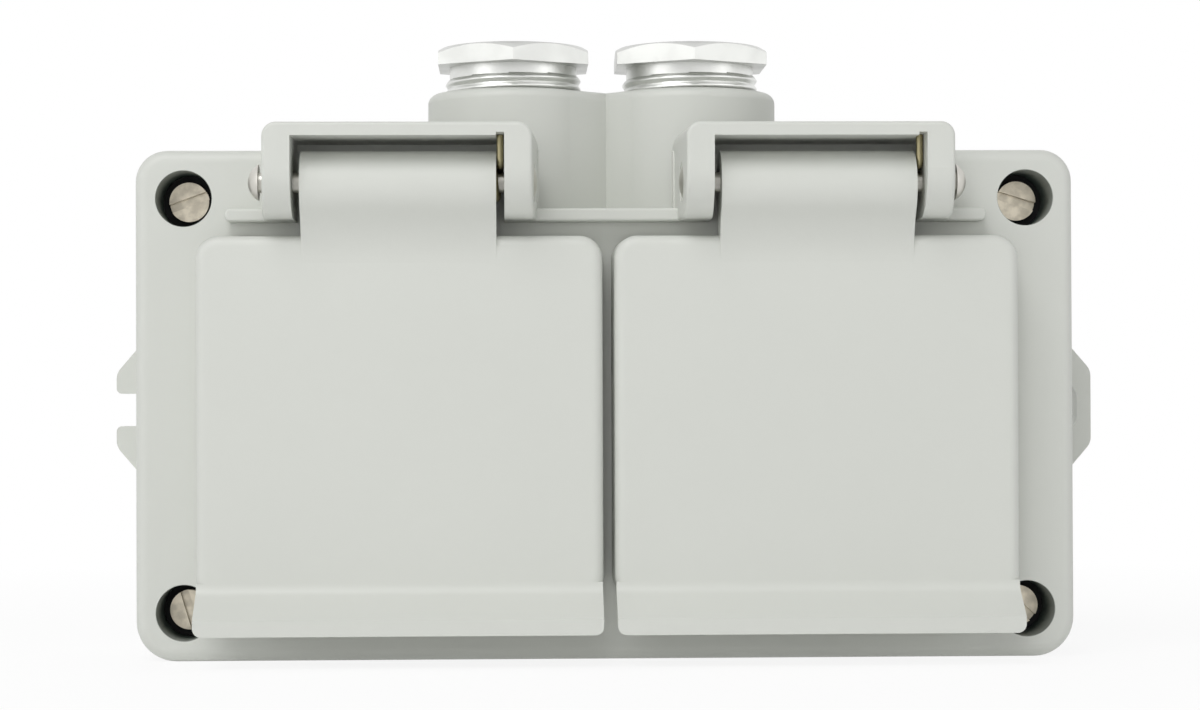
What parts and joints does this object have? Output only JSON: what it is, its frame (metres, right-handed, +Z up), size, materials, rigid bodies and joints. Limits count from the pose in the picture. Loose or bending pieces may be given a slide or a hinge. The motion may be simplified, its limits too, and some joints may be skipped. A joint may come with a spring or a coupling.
{
  "type": "outdoor double socket",
  "caption": "Surface-mounted weatherproof wall socket in a cast box with sprung hinged lids, a screwed front cover, cable glands on top and slotted wall lugs.",
  "frame": {"origin": "centre of the flat back of the box, on the wall", "axes": "+Z up, -Y out of the wall towards the viewer, +X to the viewer's right"},
  "size_m": [0.1839, 0.0645, 0.1092],
  "materials": {
    "grey_casting": "die casting in light grey stoved paint",
    "black_rubber": "black sealing rubber",
    "plated_screw": "nickel-plated steel",
    "plated_brass": "nickel-plated brass",
    "hinge_steel": "bare nickel-plated steel",
    "spring_steel": "olive passivated spring wire",
    "insert_plastic": "dark moulded thermoset",
    "block_plastic": "grey moulded thermoset",
    "contact_brass": "bare brass"
  },
  "bodies": {
    "housing": {"rear_housing": "grey_casting", "front_cover": "grey_casting", "cover_gasket": "black_rubber", "screw_seals": "black_rubber", "cover_screws": "plated_screw", "gland_screw_left": "plated_brass", "gland_screw_right": "plated_brass", "gland_washer_left": "plated_brass", "gland_washer_right": "plated_brass", "gland_seal_left": "black_rubber", "gland_seal_right": "black_rubber", "hinge_pin_left": "hinge_steel", "hinge_pin_right": "hinge_steel", "lid_spring_left": "spring_steel", "lid_spring_right": "spring_steel", "socket_cup_left": "insert_plastic", "socket_cup_right": "insert_plastic", "terminal_block_left": "block_plastic", "terminal_block_right": "block_plastic", "line_contact_left": "contact_brass", "line_contact_right": "contact_brass", "neutral_contact_left": "contact_brass", "neutral_contact_right": "contact_brass", "terminal_screws_left": "plated_screw", "terminal_screws_right": "plated_screw", "earth_clip_left": "plated_brass", "earth_clip_right": "plated_brass", "cup_screw_left": "plated_screw", "cup_screw_right": "plated_screw", "block_screws": "plated_screw", "earth_washer": "plated_screw", "earth_screw": "plated_screw"},
    "lid_body_left": {"lid_left": "grey_casting", "lid_gasket_left": "black_rubber"},
    "lid_body_right": {"lid_right": "grey_casting", "lid_gasket_right": "black_rubber"}
  },
  "joints": [
    {"name": "lid_left_hinge", "type": "hinge", "parent": "housing", "child": "lid_body_left", "pos_m": [-0.03572, -0.0565, 0.0379], "axis": [-1, 0, 0], "range_deg": [0, 110], "stiffness_Nm_per_rad": 0.06, "springref_deg": -57.3, "deforming": ["lid_spring_left"]},
    {"name": "lid_right_hinge", "type": "hinge", "parent": "housing", "child": "lid_body_right", "pos_m": [0.03572, -0.0565, 0.0379], "axis": [-1, 0, 0], "range_deg": [0, 110], "stiffness_Nm_per_rad": 0.06, "springref_deg": -57.3, "deforming": ["lid_spring_right"]}
  ]
}
